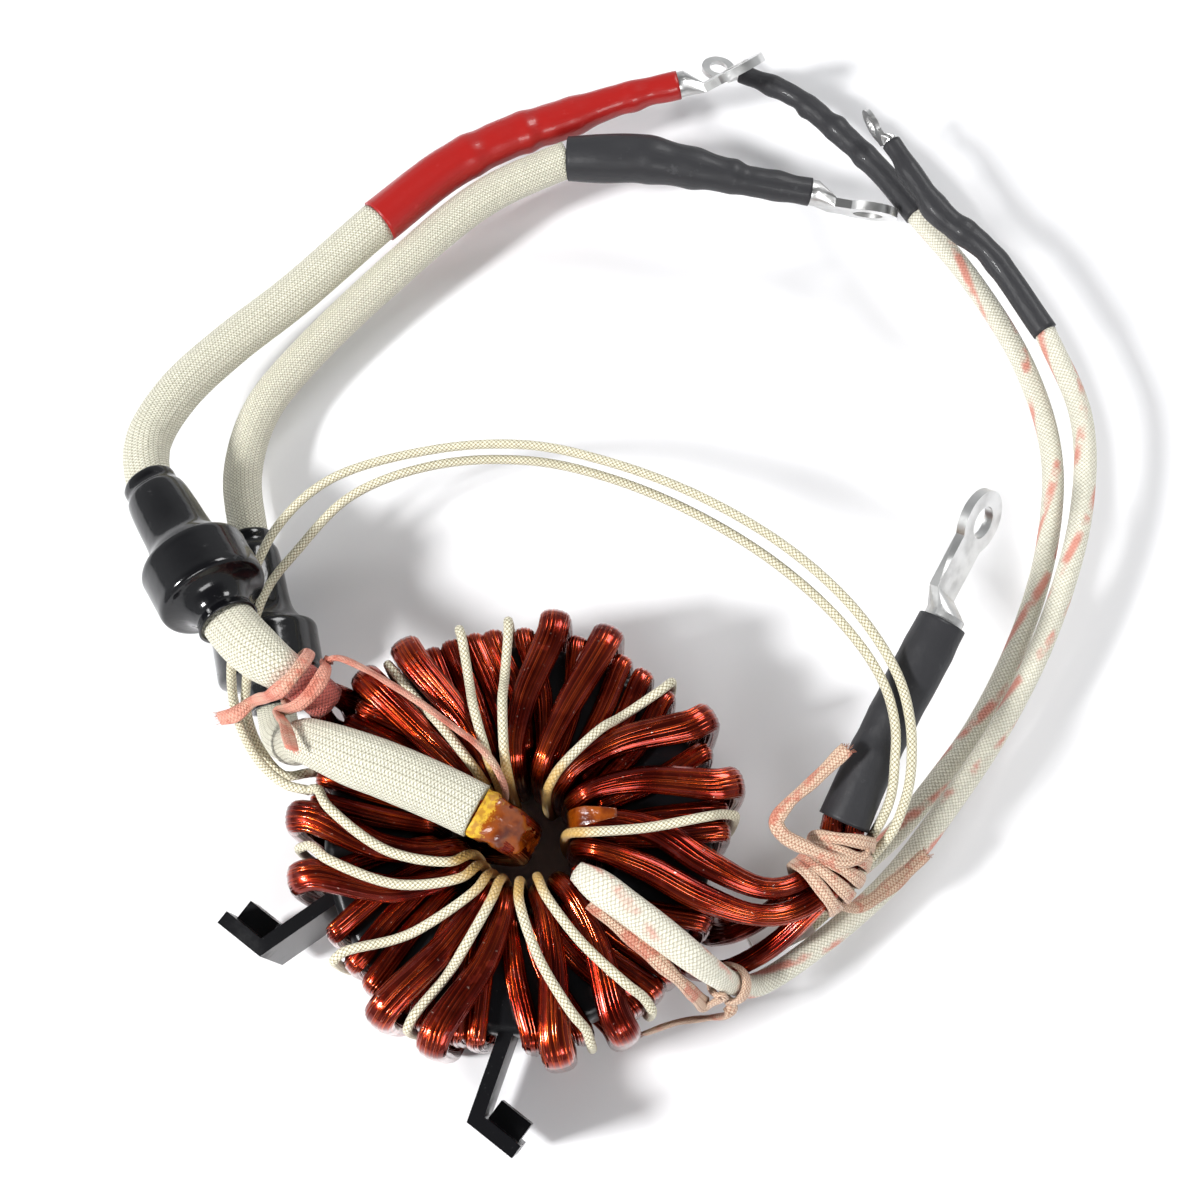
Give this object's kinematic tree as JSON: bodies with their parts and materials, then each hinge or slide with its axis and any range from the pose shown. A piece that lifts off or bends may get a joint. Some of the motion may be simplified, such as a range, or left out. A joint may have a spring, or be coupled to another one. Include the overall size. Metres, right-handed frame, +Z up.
{
  "type": "high frequency transformer",
  "caption": "Centre-tapped toroidal high frequency transformer with sleeved leads, bead chokes, cable lugs and a small two-way plug.",
  "frame": {"origin": "the toroid's axis, at the level of the surface the transformer lies on", "axes": "+Z up along the toroid's axis; +Y towards the far side, where the leads end; +X to the right, where the plug lies"},
  "size_m": [0.2566, 0.3087, 0.0594],
  "materials": {
    "enamelled_copper": "gloss",
    "case_plastic": "satin",
    "core_tape": "satin",
    "bead_ferrite": "matte",
    "bead_jacket_film": "gloss",
    "black_shrink": "satin",
    "red_shrink": "gloss",
    "cream_sleeving": "satin",
    "grey_sleeving": "satin",
    "flecked_sleeving": "satin",
    "wire_braid": "satin",
    "dyed_tie": "satin",
    "amber_tape": "gloss",
    "tinned_lug": "satin",
    "white_nylon": "satin",
    "tinned_contact": "satin"
  },
  "bodies": {
    "root": {"core_ring": "core_tape", "case_body": "case_plastic", "case_cover": "case_plastic", "primary_winding": "enamelled_copper", "secondary_winding_a": "enamelled_copper", "secondary_winding_b": "enamelled_copper", "auxiliary_winding": "wire_braid", "tape_wrap_lead_b": "amber_tape", "tape_wrap_rim": "amber_tape", "lead_a_sleeve": "cream_sleeving", "bead_a_core": "bead_ferrite", "bead_a_jacket": "bead_jacket_film", "lead_a_shrink": "red_shrink", "lug_a": "tinned_lug", "lead_b_sleeve": "grey_sleeving", "bead_b_core": "bead_ferrite", "bead_b_jacket": "bead_jacket_film", "lead_b_shrink": "black_shrink", "lug_b": "tinned_lug", "lead_c_sleeve": "flecked_sleeving", "lead_c_shrink": "black_shrink", "lug_c": "tinned_lug", "lead_d_sleeve": "flecked_sleeving", "lead_d_shrink": "black_shrink", "lug_d": "tinned_lug", "tap_shrink": "black_shrink", "lug_tap": "tinned_lug", "aux_lead_1": "wire_braid", "aux_lead_2": "wire_braid", "plug_housing": "white_nylon", "plug_contacts": "tinned_contact", "tie_left": "dyed_tie", "tie_right": "dyed_tie", "tie_bottom": "dyed_tie"}
  },
  "joints": []
}
